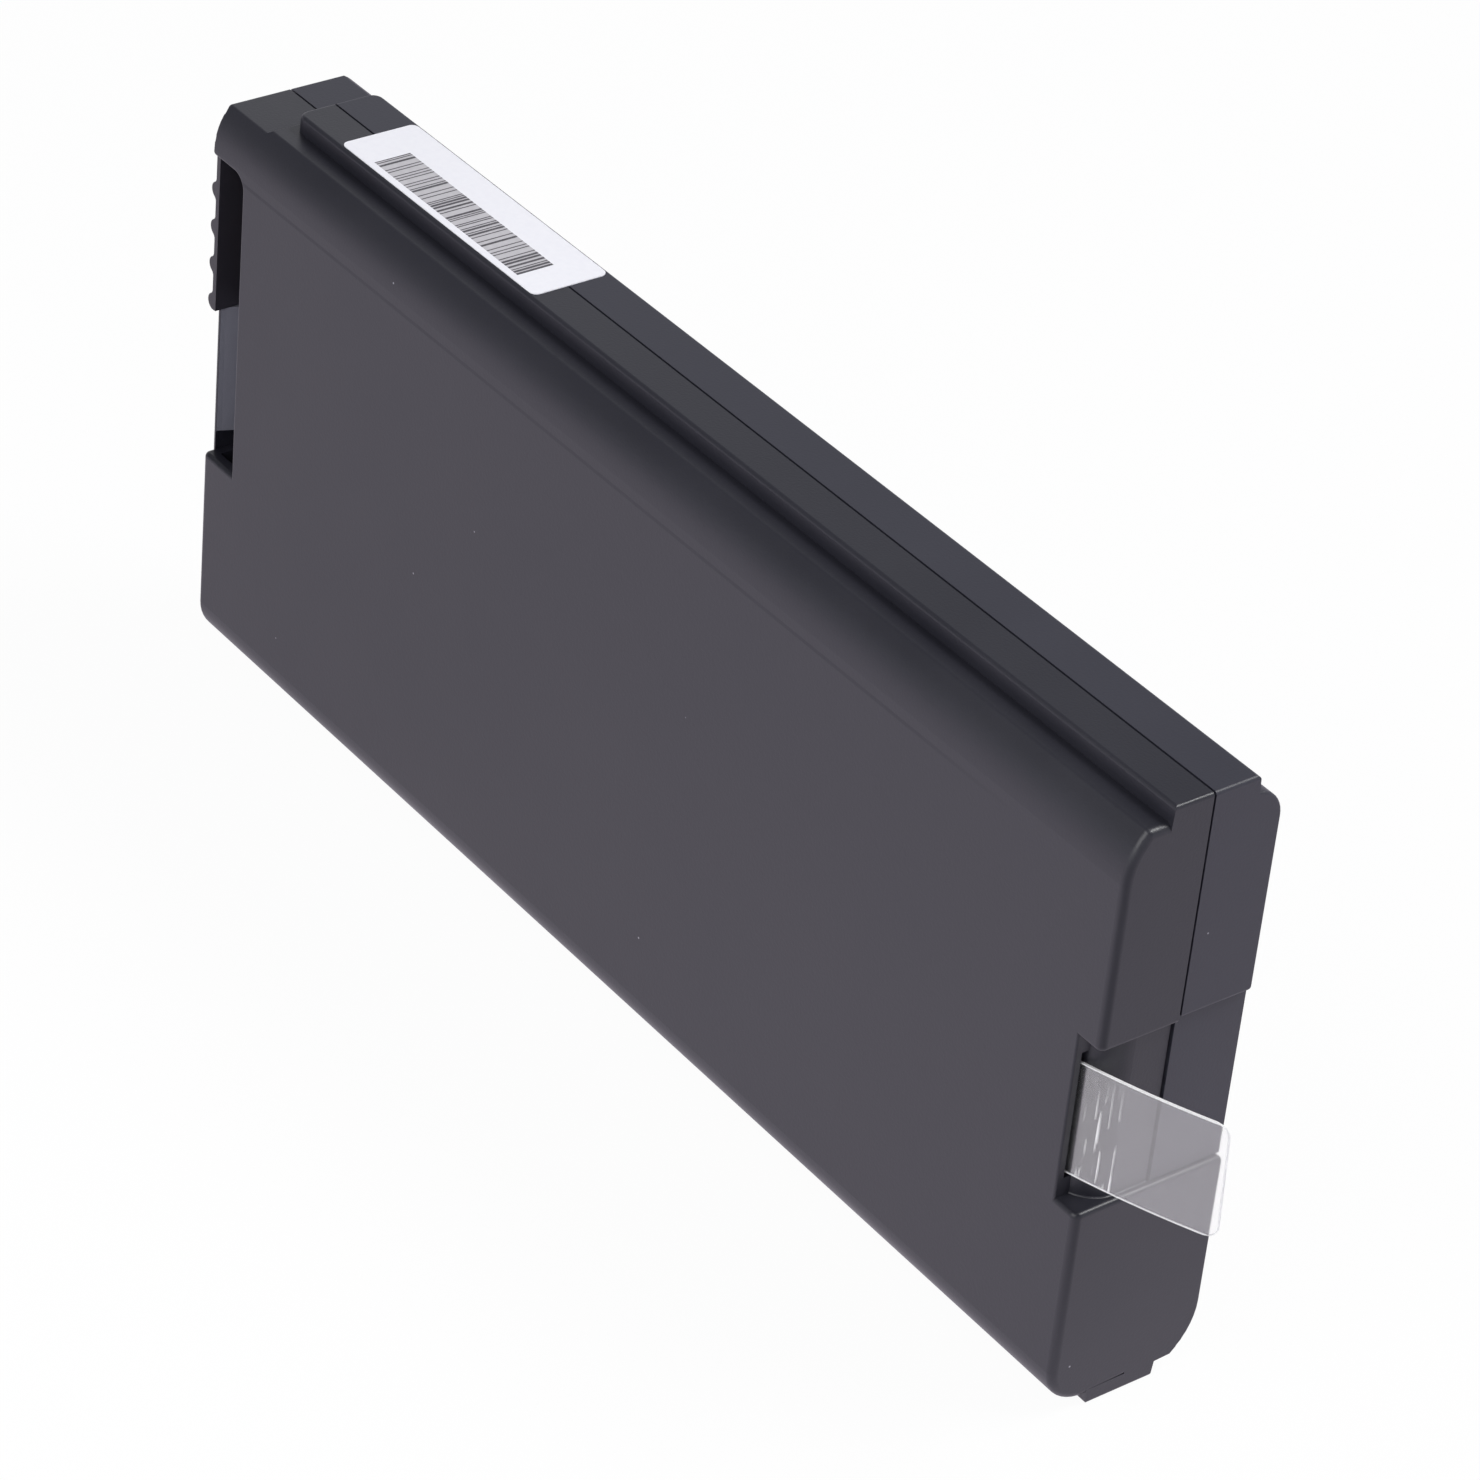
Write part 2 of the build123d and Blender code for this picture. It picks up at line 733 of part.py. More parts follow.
def insulator_paper():
    """A sheet on the upper tray under the board, with holes for what passes through it."""
    end = board_right - paper_inset
    form = block(row_left, end, -tray_half_width, tray_half_width, upper_top, upper_top + paper_thickness)
    for x, y in post_places():
        form -= upright(post_diameter + 2 * paper_clearance, x, y, upper_top, board_bottom)
    x = upper_tab_x()
    form -= block(x - paper_clearance, x + tab_width + paper_clearance, tab_y() - paper_clearance,
                  tab_y() + strip_thickness + paper_clearance, upper_top, board_bottom)
    x, y = bead_place()
    return form - upright(bead_diameter, x, y, upper_top, board_bottom)


def foam_pad():
    """A foam block between the last cell and the end wall."""
    x0 = row_right + tab_clearance + strip_thickness + foam_clearance
    x1 = recess_wall - foam_clearance
    return block(x0, x1, foam_front, foam_back, recess_bottom + foam_inset, recess_top - foam_inset)


def pull_tab():
    """Clear film from inside the slit: straight past the lip, a bend, then a flat with round corners."""
    y = lip_inside + slit_gap / 2
    start = (slit_end + film_thickness, y)
    bend = (lip_edge + film_straight, y)
    angle = radians(film_bend_angle)
    turned = (bend[0] + film_bend_radius * sin(angle), y + film_bend_radius * (1 - cos(angle)))
    tip = (turned[0] + film_free * cos(angle), turned[1] + film_free * sin(angle))
    path = Wire([Line(start, bend), TangentArc(bend, turned, tangent=(1, 0)), Line(turned, tip)])
    sheet = rise(trace(path, film_thickness), film_bottom, film_top)
    ends = [edge for edge in sheet.edges()
            if edge.length < 2 * film_thickness and edge.center().X > turned[0]]
    return fillet(ends, film_corner)


def label():
    """A paper sticker with rounded corners, on the flat of the top rail."""
    plan = RectangleRounded(label_length, label_width, label_corner)
    middle = (top_rail_front + top_rail_back) / 2
    return Pos(left + label_start + label_length / 2, middle, height) * extrude(plan, label_thickness)


def main():
    front_shell, rear_shell = shells()
    nodes = {
        "front_shell": front_shell,
        "rear_shell": rear_shell,
        "connector_housing": connector_housing(),
        "contact_blades": contact_blades(0),
        "lower_cell_tray": lower_cell_tray(),
        "upper_cell_tray": upper_cell_tray(),
        "negative_bus": negative_bus(),
        "lower_link_bus": lower_link_bus(),
        "upper_link_bus": upper_link_bus(),
        "positive_bus": positive_bus(),
        "insulator_paper": insulator_paper(),
        "protection_board": protection_board(),
        "gauge_chip": gauge_chip(),
        "switch_mosfets": switch_mosfets(),
        "sense_resistor": sense_resistor(),
        "thermal_fuse": thermal_fuse(),
        "capacitors": capacitors(),
        "thermistor": thermistor(),
        "foam_pad": foam_pad(),
        "pull_tab": pull_tab(),
        "label": label(),
    }
    for i in range(cell_count):
        nodes[f"cell_{i + 1}"] = cell(i)
    os.makedirs("parts", exist_ok=True)
    for name, solid in nodes.items():
        shape = Compound(children=solid) if isinstance(solid, list) else solid
        export_step(shape, f"parts/{name}.step")


main()
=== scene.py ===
import math

import bpy
import numpy as np
from mathutils import Matrix, Vector


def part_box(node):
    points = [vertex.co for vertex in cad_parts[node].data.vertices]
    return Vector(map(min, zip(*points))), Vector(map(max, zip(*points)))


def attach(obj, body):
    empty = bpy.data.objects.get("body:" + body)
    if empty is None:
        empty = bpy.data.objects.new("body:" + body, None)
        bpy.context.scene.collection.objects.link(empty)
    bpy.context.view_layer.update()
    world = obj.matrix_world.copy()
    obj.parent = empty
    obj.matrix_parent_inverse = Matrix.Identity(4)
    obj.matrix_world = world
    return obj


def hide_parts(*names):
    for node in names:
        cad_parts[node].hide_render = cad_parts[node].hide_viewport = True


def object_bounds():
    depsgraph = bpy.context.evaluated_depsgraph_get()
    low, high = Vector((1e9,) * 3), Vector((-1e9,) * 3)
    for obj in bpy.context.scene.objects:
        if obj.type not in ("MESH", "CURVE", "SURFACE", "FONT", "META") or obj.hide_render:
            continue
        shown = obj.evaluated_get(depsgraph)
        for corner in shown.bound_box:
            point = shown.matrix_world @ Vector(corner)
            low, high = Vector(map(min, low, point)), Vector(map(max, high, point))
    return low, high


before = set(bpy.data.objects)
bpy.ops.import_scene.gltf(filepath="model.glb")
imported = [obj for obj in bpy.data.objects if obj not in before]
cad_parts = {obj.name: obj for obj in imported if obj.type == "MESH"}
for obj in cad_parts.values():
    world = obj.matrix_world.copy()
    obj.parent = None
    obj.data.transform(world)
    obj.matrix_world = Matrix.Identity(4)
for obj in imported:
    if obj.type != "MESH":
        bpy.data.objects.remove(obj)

cad_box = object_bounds()
MM = 0.001

# Housing: a front and a rear shell, injection moulded in charcoal ABS and welded along the seam.
# The mould was spark eroded, so the skin has a fine satin grain that scatters a broad soft sheen.
# Handling left smoother patches and a few pale specks of dust.
# The guide under the connector is painted pale grey: painted light, so that it looks lit where it lies in
# shade.
front_shades = ("#23232b", "#27272f")
rear_shades = ("#2e2e38", "#32323c")
# Painted light: the pale grey painted on the guide under the connector, so that the guide looks lit.
guide_painted_light_shade = "#6e6e78"
dust_shade = "#a5a3aa"
housing_ior = 1.53
front_roughness = (0.34, 0.41)
rear_roughness = (0.42, 0.49)
flow_range = (0.35, 0.70)
gloss_range = (0.3, 0.7)
# The grain is drawn about twice as coarse as a real one, so that it shows.
grain_size = 0.36 * MM
grain_depth = 0.016 * MM
flow_size = 28 * MM
dust_spacing = 9 * MM
dust_radius = 0.17 * MM
panel_edge = 74.6 * MM
panel_edge_width = 0.5 * MM
panel_edge_depth = 0.08 * MM
panel_front = (-8.5 * MM, -9.5 * MM)
panel_fade = (75 * MM, 50 * MM)
guide_x = (-92.9 * MM, -85.5 * MM)
guide_y = (-9.1 * MM, -5.0 * MM)
guide_z = (33.4 * MM, 55.0 * MM)
guide_blur = 0.2 * MM


def linear(hex_colour):
    """An sRGB hex colour as linear red, green, blue and alpha."""
    values = [int(hex_colour[i:i + 2], 16) / 255 for i in (1, 3, 5)]
    return [v / 12.92 if v <= 0.04045 else ((v + 0.055) / 1.055) ** 2.4 for v in values] + [1.0]


def add(tree, kind, inputs=None, **settings):
    """A new node of a kind: settings are its properties, inputs are sockets to link or values to set."""
    node = tree.nodes.new("ShaderNode" + kind)
    for name, value in settings.items():
        setattr(node, name, value)
    for name, value in (inputs or {}).items():
        if isinstance(value, bpy.types.NodeSocket):
            tree.links.new(value, node.inputs[name])
        else:
            node.inputs[name].default_value = value
    return node


def start_finish(name):
    """A new material emptied of nodes, its node tree, and the socket of the piece's own coordinates in metres.
    """
    material = bpy.data.materials.new(name)
    material.use_nodes = True
    tree = material.node_tree
    tree.nodes.clear()
    place = add(tree, "TexCoord").outputs["Object"]
    return material, tree, place


def close_finish(tree, shader):
    """Joins a shader node to the material's output."""
    add(tree, "OutputMaterial", {"Surface": shader.outputs[0]})


def cover(material, *names):
    """Gives CAD nodes a finish in their own material slots."""
    for name in names:
        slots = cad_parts[name].data.materials
        slots.clear()
        slots.append(material)


def where_all(tree, *masks):
    """A mask that holds where all of some masks hold: their product."""
    product = masks[0]
    for mask in masks[1:]:
        product = add(tree, "Math", {0: product, 1: mask}, operation="MULTIPLY").outputs[0]
    return product


def between(tree, value, limits, blur):
    """A mask that is 1 between two limits and falls to 0 over a blur outside each."""
    up = add(tree, "MapRange", {"Value": value, "From Min": limits[0] - blur, "From Max": limits[0]})
    down = add(tree, "MapRange", {"Value": value, "From Min": limits[1] + blur, "From Max": limits[1]})
    return where_all(tree, up.outputs["Result"], down.outputs["Result"])


def satin_abs(name, shades, roughness):
    """Moulded ABS: flow marks shift the charcoal a little, grain breaks up the sheen, dust sits on it.

    The flat of the front stands a hair proud and ends in a fine line just under the crown, at one height,
    that dies out towards the pull tab. The guide under the connector is painted pale grey: painted light,
    so that it looks lit where it lies in shade.
    """
    material, tree, place = start_finish(name)
    flow = add(tree, "TexNoise", {"Vector": place, "Scale": 1 / flow_size, "Detail": 3.0, "Roughness": 0.55})
    grain = add(tree, "TexNoise", {"Vector": place, "Scale": 1 / grain_size, "Detail": 2.0, "Roughness": 0.6})
    tint = add(tree, "ValToRGB", {"Fac": flow.outputs["Fac"]})
    tint.color_ramp.elements[0].position = flow_range[0]
    tint.color_ramp.elements[0].color = linear(shades[0])
    tint.color_ramp.elements[1].position = flow_range[1]
    tint.color_ramp.elements[1].color = linear(shades[1])
    specks = add(tree, "TexVoronoi", {"Vector": place, "Scale": 1 / dust_spacing, "Randomness": 1.0})
    speck = add(tree, "MapRange", {"Value": specks.outputs["Distance"],
                                   "From Min": dust_radius / dust_spacing,
                                   "From Max": 0.5 * dust_radius / dust_spacing})
    dusty = add(tree, "Mix", {"Factor": speck.outputs["Result"], "A": tint.outputs["Color"],
                              "B": linear(dust_shade)}, data_type="RGBA")
    spot = add(tree, "SeparateXYZ", {"Vector": place}).outputs
    # Painted light: inside the guide's box the colour turns pale grey, so that the guide looks lit where it
    # lies in shade.
    painted_light_on_guide = where_all(tree, between(tree, spot["X"], guide_x, guide_blur),
                       between(tree, spot["Y"], guide_y, guide_blur),
                       between(tree, spot["Z"], guide_z, guide_blur))
    colour = add(tree, "Mix", {"Factor": painted_light_on_guide, "A": dusty.outputs["Result"],
                               "B": linear(guide_painted_light_shade)}, data_type="RGBA")
    gloss = add(tree, "MapRange", {"Value": flow.outputs["Fac"], "From Min": gloss_range[0],
                                   "From Max": gloss_range[1],
                                   "To Min": roughness[0], "To Max": roughness[1]})
    panel = add(tree, "MapRange", {"Value": spot["Z"], "From Min": panel_edge + panel_edge_width,
                                   "From Max": panel_edge, "To Max": panel_edge_depth / grain_depth})
    on_front = add(tree, "MapRange", {"Value": spot["Y"], "From Min": panel_front[0],
                                      "From Max": panel_front[1]})
    fading = add(tree, "MapRange", {"Value": spot["X"], "From Min": panel_fade[0],
                                    "From Max": panel_fade[1]})
    proud = where_all(tree, panel.outputs["Result"], on_front.outputs["Result"],
                      fading.outputs["Result"])
    surface = add(tree, "Math", {0: grain.outputs["Fac"], 1: proud}, operation="ADD")
    relief = add(tree, "Bump", {"Height": surface.outputs[0], "Strength": 1.0, "Distance": grain_depth})
    shader = add(tree, "BsdfPrincipled", {"Base Color": colour.outputs["Result"], "IOR": housing_ior,
                                          "Roughness": gloss.outputs["Result"],
                                          "Normal": relief.outputs["Normal"]})
    close_finish(tree, shader)
    return material


cover(satin_abs("satin_charcoal_abs_front", front_shades, front_roughness), "front_shell")
cover(satin_abs("satin_charcoal_abs_rear", rear_shades, rear_roughness), "rear_shell")

# Connector: an insulator of glass-filled nylon with half-round ribs, pressed into the notch.
# Five gold plated blades stand in its slot.
# The nylon is glossier than the shells, and the slot lies in shade, so it looks nearly black.
connector_shade = "#2b2930"
connector_roughness = (0.30, 0.46)
connector_ior = 1.53
mottle_size = 0.6 * MM
mottle_strength = 0.4
mottle_depth = 0.01 * MM
contact_shade = "#d9b45f"
rolling_stretch = 40
rolling_spread = 0.1


def glass_filled_nylon():
    """Moulded nylon with glass fibre: a touch glossier than the shells, with a faint fibre mottle."""
    material, tree, place = start_finish("black_glass_filled_nylon")
    mottle = add(tree, "TexNoise", {"Vector": place, "Scale": 1 / mottle_size, "Detail": 3.0})
    gloss = add(tree, "MapRange", {"Value": mottle.outputs["Fac"], "To Min": connector_roughness[0],
                                   "To Max": connector_roughness[1]})
    relief = add(tree, "Bump", {"Height": mottle.outputs["Fac"], "Strength": mottle_strength,
                                "Distance": mottle_depth})
    shader = add(tree, "BsdfPrincipled", {"Base Color": linear(connector_shade), "IOR": connector_ior,
                                          "Roughness": gloss.outputs["Result"],
                                          "Normal": relief.outputs["Normal"]})
    close_finish(tree, shader)
    return material


def plated_metal(name, shade, roughness, streak):
    """Rolled and plated metal: bright, with fine rolling streaks along its length."""
    material, tree, place = start_finish(name)
    stretched = add(tree, "Mapping", {"Vector": place, "Scale": (1 / (rolling_stretch * streak), 1 / streak,
                                                                    1 / streak)})
    streaks = add(tree, "TexNoise", {"Vector": stretched.outputs["Vector"], "Scale": 1.0, "Detail": 3.0})
    gloss = add(tree, "MapRange", {"Value": streaks.outputs["Fac"], "To Min": roughness - rolling_spread,
                                   "To Max": roughness + rolling_spread})
    shader = add(tree, "BsdfPrincipled", {"Base Color": linear(shade), "Metallic": 1.0,
                                          "Roughness": gloss.outputs["Result"]})
    close_finish(tree, shader)
    return material


cover(glass_filled_nylon(), "connector_housing")
cover(plated_metal("gold_plated_brass", contact_shade, 0.25, 0.2 * MM), "contact_blades")

# Label: a coated white paper sticker on the top rail, cut with round corners and pressed on by hand.
# A block is printed on its front half by thermal transfer: a pale grey ground with thin dark bars.
# The bars are made up and say nothing.
label_shade = "#fbfbff"
label_shade_fibre = "#f3f3f9"
ink_shade = "#3d3b40"
ink_shade_worn = "#67656a"
ground_shade = "#bcbabe"
ground_shade_worn = "#cfcdd1"
fibre_size = 0.8 * MM
print_from = (-67.15 * MM, -3.7 * MM)
print_to = (-34.85 * MM, 1.7 * MM)
print_lift = 0.01 * MM
bar_module = 0.2 * MM
bar_seed = 11
paper_roughness = 0.55
ink_roughness = 0.6


def coated_paper():
    """White coated paper: nearly even, with a soft fibre cloud under a smooth face."""
    material, tree, place = start_finish("coated_white_paper")
    fibre = add(tree, "TexNoise", {"Vector": place, "Scale": 1 / fibre_size, "Detail": 4.0})
    tint = add(tree, "ValToRGB", {"Fac": fibre.outputs["Fac"]})
    tint.color_ramp.elements[0].color = linear(label_shade_fibre)
    tint.color_ramp.elements[1].color = linear(label_shade)
    shader = add(tree, "BsdfPrincipled", {"Base Color": tint.outputs["Color"], "Roughness": paper_roughness})
    close_finish(tree, shader)
    return material


def thermal_ink(name, shade, worn_shade):
    """Thermal transfer ink: matt, and paler where the ribbon left it thin."""
    material, tree, place = start_finish(name)
    thin = add(tree, "TexNoise", {"Vector": place, "Scale": 1 / fibre_size, "Detail": 3.0})
    tint = add(tree, "ValToRGB", {"Fac": thin.outputs["Fac"]})
    tint.color_ramp.elements[0].color = linear(shade)
    tint.color_ramp.elements[1].color = linear(worn_shade)
    shader = add(tree, "BsdfPrincipled", {"Base Color": tint.outputs["Color"], "Roughness": ink_roughness})
    close_finish(tree, shader)
    return material


def make_piece(name, points, faces, materials, slots=None):
    """A mesh object at the origin from arrays of points and faces, with a material slot for each face."""
    mesh = bpy.data.meshes.new(name)
    mesh.from_pydata(points.tolist(), [], faces.tolist())
    for material in materials:
        mesh.materials.append(material)
    if slots is not None:
        mesh.polygons.foreach_set("material_index", slots)
    piece = bpy.data.objects.new(name, mesh)
    bpy.context.scene.collection.objects.link(piece)
    return piece


def printed_bars():
    """A ground as wide as the block, then bars on it.

    The bars stand side by side: each is one or two modules wide, then comes a gap of one to five modules,
    up to the block's end. The ground lies half as high above the paper as the bars.
    """
    draw = np.random.default_rng(bar_seed)
    count = int((print_to[0] - print_from[0]) / bar_module)
    widths = draw.choice([1, 1, 1, 2], count)
    gaps = draw.choice([1, 1, 2, 2, 3, 5], count)
    starts = np.concatenate([[0], np.cumsum(widths + gaps)[:-1]]) * bar_module + print_from[0]
    ends = starts + widths * bar_module
    kept = ends < print_to[0]
    starts = np.concatenate([[print_from[0]], starts[kept]])
    ends = np.concatenate([[ends[kept][-1]], ends[kept]])
    on_bar = (np.arange(len(starts)) > 0).astype(int)
    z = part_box("label")[1][2] + print_lift * (1 + on_bar) / 2
    x = np.stack([starts, ends, ends, starts], 1)
    y = np.broadcast_to([print_from[1], print_from[1], print_to[1], print_to[1]], x.shape)
    points = np.stack([x, y, np.broadcast_to(z[:, None], x.shape)], 2).reshape(-1, 3)
    return points, np.arange(len(points)).reshape(-1, 4), on_bar


cover(coated_paper(), "label")
points, faces, slots = printed_bars()
inks = [thermal_ink("pale_grey_thermal_ink", ground_shade, ground_shade_worn),
        thermal_ink("dark_grey_thermal_ink", ink_shade, ink_shade_worn)]
label_print = make_piece("label_print", points, faces, inks, slots)
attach(label_print, "root")

# Pull tab: a strip of clear polyester film, die cut with round corners, welded inside the end slit.
# It bends towards the back as it leaves the slit, and its skew end reaches further at the bottom.
# The glossy film throws back the pale floor as a grey veil, and its cut edges are frosted.
film_mouth = (89.35 * MM, -9.45 * MM)
film_hidden = 5.2 * MM
film_tuck = 3.2 * MM
film_angle = math.radians(12.3)
film_curl = math.radians(0.447) / MM
film_low = 33.75 * MM
film_high = 49.45 * MM
film_rise = 0.0732
film_reach = 19.5 * MM
film_skew = 0.6 * MM
film_corner = 1.8 * MM
film_thickness = 0.28 * MM
film_shade = "#ffffff"
film_ior = 1.65
film_roughness = 0.04
film_clear = (0.97, 0.15)
edge_roughness = (0.35, 0.6)
edge_grain = 0.5 * MM
edge_clear = 0.2
path_steps = 600
scratch_spacing = 0.30 * MM
scratch_length = 9.0 * MM
scratched = (91.0 * MM, 94.5 * MM)
scratch_fade = 1.2 * MM
scratch_ramp = (0.60, 0.64)
scratch_full = 0.5


def film_sheet(columns=130, rows=84):
    """The film's two faces and its rim.

    A point runs a length along the path and a share of the height. The path turns from the slit's own
    direction to the mouth's angle while it is hidden, and from there curls on evenly. Steps along it, each
    the cosine and sine of the angle, add up to its places. The path's end is pulled back at both corners by the circle that
    rounds them and pushed out towards the bottom by the skew. The film climbs a little with every step. The
    faces stand half a thickness either side. The rim and the outermost strip of each face are frosted.
    """
    fine = np.linspace(-film_hidden, film_reach + film_skew, path_steps)
    tucked = film_angle * np.clip(1 + fine / film_tuck, 0, 1)
    angle = np.where(fine < 0, tucked, film_angle + film_curl * fine)
    step = fine[1] - fine[0]
    mouth = np.searchsorted(fine, 0)
    path_x = np.cumsum(np.cos(angle)) * step
    path_y = np.cumsum(np.sin(angle)) * step
    share = np.linspace(0, 1, rows + 1)[None, :]
    height = film_high - film_low
    into_corner = np.maximum(np.abs(share - 0.5) * height - (height / 2 - film_corner), 0)
    pulled = film_corner - np.sqrt(np.maximum(film_corner ** 2 - into_corner ** 2, 0))
    reach = film_reach + film_skew * (1 - share) - pulled
    run = (reach + film_hidden) * np.linspace(0, 1, columns + 1)[:, None] - film_hidden
    turn = np.interp(run, fine, angle)
    x = film_mouth[0] + np.interp(run, fine, path_x - path_x[mouth])
    y = film_mouth[1] + np.interp(run, fine, path_y - path_y[mouth])
    z = film_low + share * height + film_rise * run
    middle = np.stack([x, y, z], 2)
    normal = np.stack([np.sin(turn), -np.cos(turn), np.zeros_like(turn)], 2)
    faces_apart = normal * film_thickness / 2
    points = np.concatenate([(middle + faces_apart).reshape(-1, 3), (middle - faces_apart).reshape(-1, 3)])
    index = np.arange((columns + 1) * (rows + 1)).reshape(columns + 1, rows + 1)
    quads = np.stack([index[:-1, :-1], index[1:, :-1], index[1:, 1:], index[:-1, 1:]], 2).reshape(-1, 4)
    rim = np.concatenate([index[:-1, 0], index[-1, :-1], index[:0:-1, -1], index[0, :0:-1]])
    onward = np.roll(rim, -1)
    rim_quads = np.stack([onward, rim, rim + index.size, onward + index.size], 1)
    faces = np.concatenate([quads, quads[:, ::-1] + index.size, rim_quads])
    frosted = np.zeros((columns, rows), int)
    frosted[:, [0, -1]] = 1
    frosted[-1, :] = 1
    slots = np.concatenate([frosted.ravel(), frosted.ravel(), np.ones(len(rim_quads), int)])
    return points, faces, slots


def clear_film():
    """Hard-coated clear polyester: it passes light, mirrors the floor, and is scuffed in upright streaks."""
    material, tree, place = start_finish("clear_hard_coated_polyester")
    stretched = add(tree, "Mapping", {"Vector": place, "Scale": (1 / scratch_spacing, 0.0,
                                                                    1 / scratch_length)})
    streaks = add(tree, "TexNoise", {"Vector": stretched.outputs["Vector"], "Scale": 1.0, "Detail": 1.0})
    streak = add(tree, "MapRange", {"Value": streaks.outputs["Fac"], "From Min": scratch_ramp[0],
                                    "From Max": scratch_ramp[1]})
    across = add(tree, "SeparateXYZ", {"Vector": place})
    near_slit = between(tree, across.outputs["X"], scratched, scratch_fade)
    low_down = add(tree, "MapRange", {"Value": across.outputs["Z"], "From Min": film_high,
                                      "From Max": film_low})
    scratch = where_all(tree, streak.outputs["Result"], near_slit, low_down.outputs["Result"])
    clear = add(tree, "MapRange", {"Value": scratch, "From Max": scratch_full,
                                   "To Min": film_clear[0], "To Max": film_clear[1]})
    shader = add(tree, "BsdfPrincipled", {"Base Color": linear(film_shade), "Roughness": film_roughness,
                                          "IOR": film_ior, "Coat Weight": 1.0,
                                          "Coat Roughness": film_roughness, "Coat IOR": film_ior,
                                          "Transmission Weight": clear.outputs["Result"]})
    close_finish(tree, shader)
    return material


def frosted_edge():
    """Die-cut edge of the film: frosted white, a pale line on dark plastic and a grey one on white."""
    material, tree, place = start_finish("frosted_film_edge")
    rough = add(tree, "TexNoise", {"Vector": place, "Scale": 1 / edge_grain, "Detail": 2.0})
    gloss = add(tree, "MapRange", {"Value": rough.outputs["Fac"], "To Min": edge_roughness[0],
                                   "To Max": edge_roughness[1]})
    shader = add(tree, "BsdfPrincipled", {"Base Color": linear(film_shade), "IOR": film_ior,
                                          "Roughness": gloss.outputs["Result"],
                                          "Transmission Weight": edge_clear})
    close_finish(tree, shader)
    return material


points, faces, slots = film_sheet()
film_tab = make_piece("film_tab", points, faces, [clear_film(), frosted_edge()], slots)
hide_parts("pull_tab")
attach(film_tab, "root")

# Cells and trays: nine cells in shrink sleeves stand in a row between two trays.
# The sleeves are smooth blue PVC, shrunk on with heat. The trays are moulded in natural ABS.
sleeve_shade = "#4f7ca6"
tray_shade = "#cecdc6"


def moulded(name, shade, roughness, size):
    """A plain moulded, cast or pressed finish with a soft mottle of a given size."""
    material, tree, place = start_finish(name)
    mottle = add(tree, "TexNoise", {"Vector": place, "Scale": 1 / size, "Detail": 3.0})
    value = add(tree, "MapRange", {"Value": mottle.outputs["Fac"], "To Min": 0.9, "To Max": 1.1})
    colour = add(tree, "HueSaturation", {"Color": linear(shade), "Value": value.outputs["Result"]})
    shader = add(tree, "BsdfPrincipled", {"Base Color": colour.outputs["Color"], "Roughness": roughness})
    close_finish(tree, shader)
    return material


cells = [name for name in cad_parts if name.startswith("cell_")]
cover(moulded("blue_shrink_sleeve", sleeve_shade, 0.3, 6 * MM), *cells)
cover(moulded("natural_tray_abs", tray_shade, 0.5, 4 * MM), "lower_cell_tray", "upper_cell_tray")

# Strips: the cells are joined by four nickel strips, rolled, punched and spot welded to their ends.
# Rolling leaves fine streaks along each strip, which stretch its reflections.
nickel_shade = "#d4d1cb"

buses = ("negative_bus", "lower_link_bus", "upper_link_bus", "positive_bus")
cover(plated_metal("rolled_nickel_strip", nickel_shade, 0.3, 0.3 * MM), *buses)

# Board: a protection board under green solder mask, with its small parts soldered on.
# Chips, switches, fuse and thermistor are black epoxy. The resistor and capacitors are fired ceramic.
board_shade = "#307c4f"
epoxy_shade = "#303030"
ceramic_shade = "#c3b8a5"

cover(moulded("green_solder_mask", board_shade, 0.35, 2 * MM), "protection_board")
cover(moulded("black_epoxy", epoxy_shade, 0.5, 1 * MM), "gauge_chip", "switch_mosfets", "thermal_fuse",
      "thermistor")
cover(moulded("fired_ceramic", ceramic_shade, 0.45, 1 * MM), "sense_resistor", "capacitors")

# Packing: a grey-green fibre sheet insulates the strips, and a black foam pad takes up the play.
# Both are cut from sheet and laid in dry, so they look matt and a little uneven.
fibre_sheet_shade = "#9fa39b"
foam_shade = "#3f3f3f"

cover(moulded("fibre_sheet", fibre_sheet_shade, 0.8, 1 * MM), "insulator_paper")
cover(moulded("closed_cell_foam", foam_shade, 0.95, 1 * MM), "foam_pad")

# Studio: a pale seamless floor, a bright wall behind and three soft boxes.
# One stands high behind the right end. It lights the label and draws bright lines along the end's edges.
# In mirrors the floor has a violet cast, and is dimmer at the left and where a card lies at the right.
floor_size = 12.0
floor_shade = "#f6f6f7"
mirrored_shade = "#f9f1ff"
left_fall = (-0.10, 0.06)
left_share = 0.86
far_fall = (-0.70, -0.25)
far_share = 0.42
far_from = (-0.12, -0.24)
right_fall = (0.10, 0.16)
right_share = 0.78
dark_card_x = (0.10, 0.13)
dark_card_y = (0.03, -0.02)
dark_card = 0.60
white_share = 0.96
wall_axis = (-0.45, 0.89, 0.0)
wall_side = (-0.25, 0.25)
wall_top = (0.36, 0.62)
wall_strength = 0.47
wall_shade = "#f3f5ff"
card_side = (0.77, -0.64, 0.0)
card_edge = (-0.15, 0.10)
card_top = (0.12, 0.36)
card_strength = 1.0
dark_sky = (0.19, 0.19, 0.205, 1)


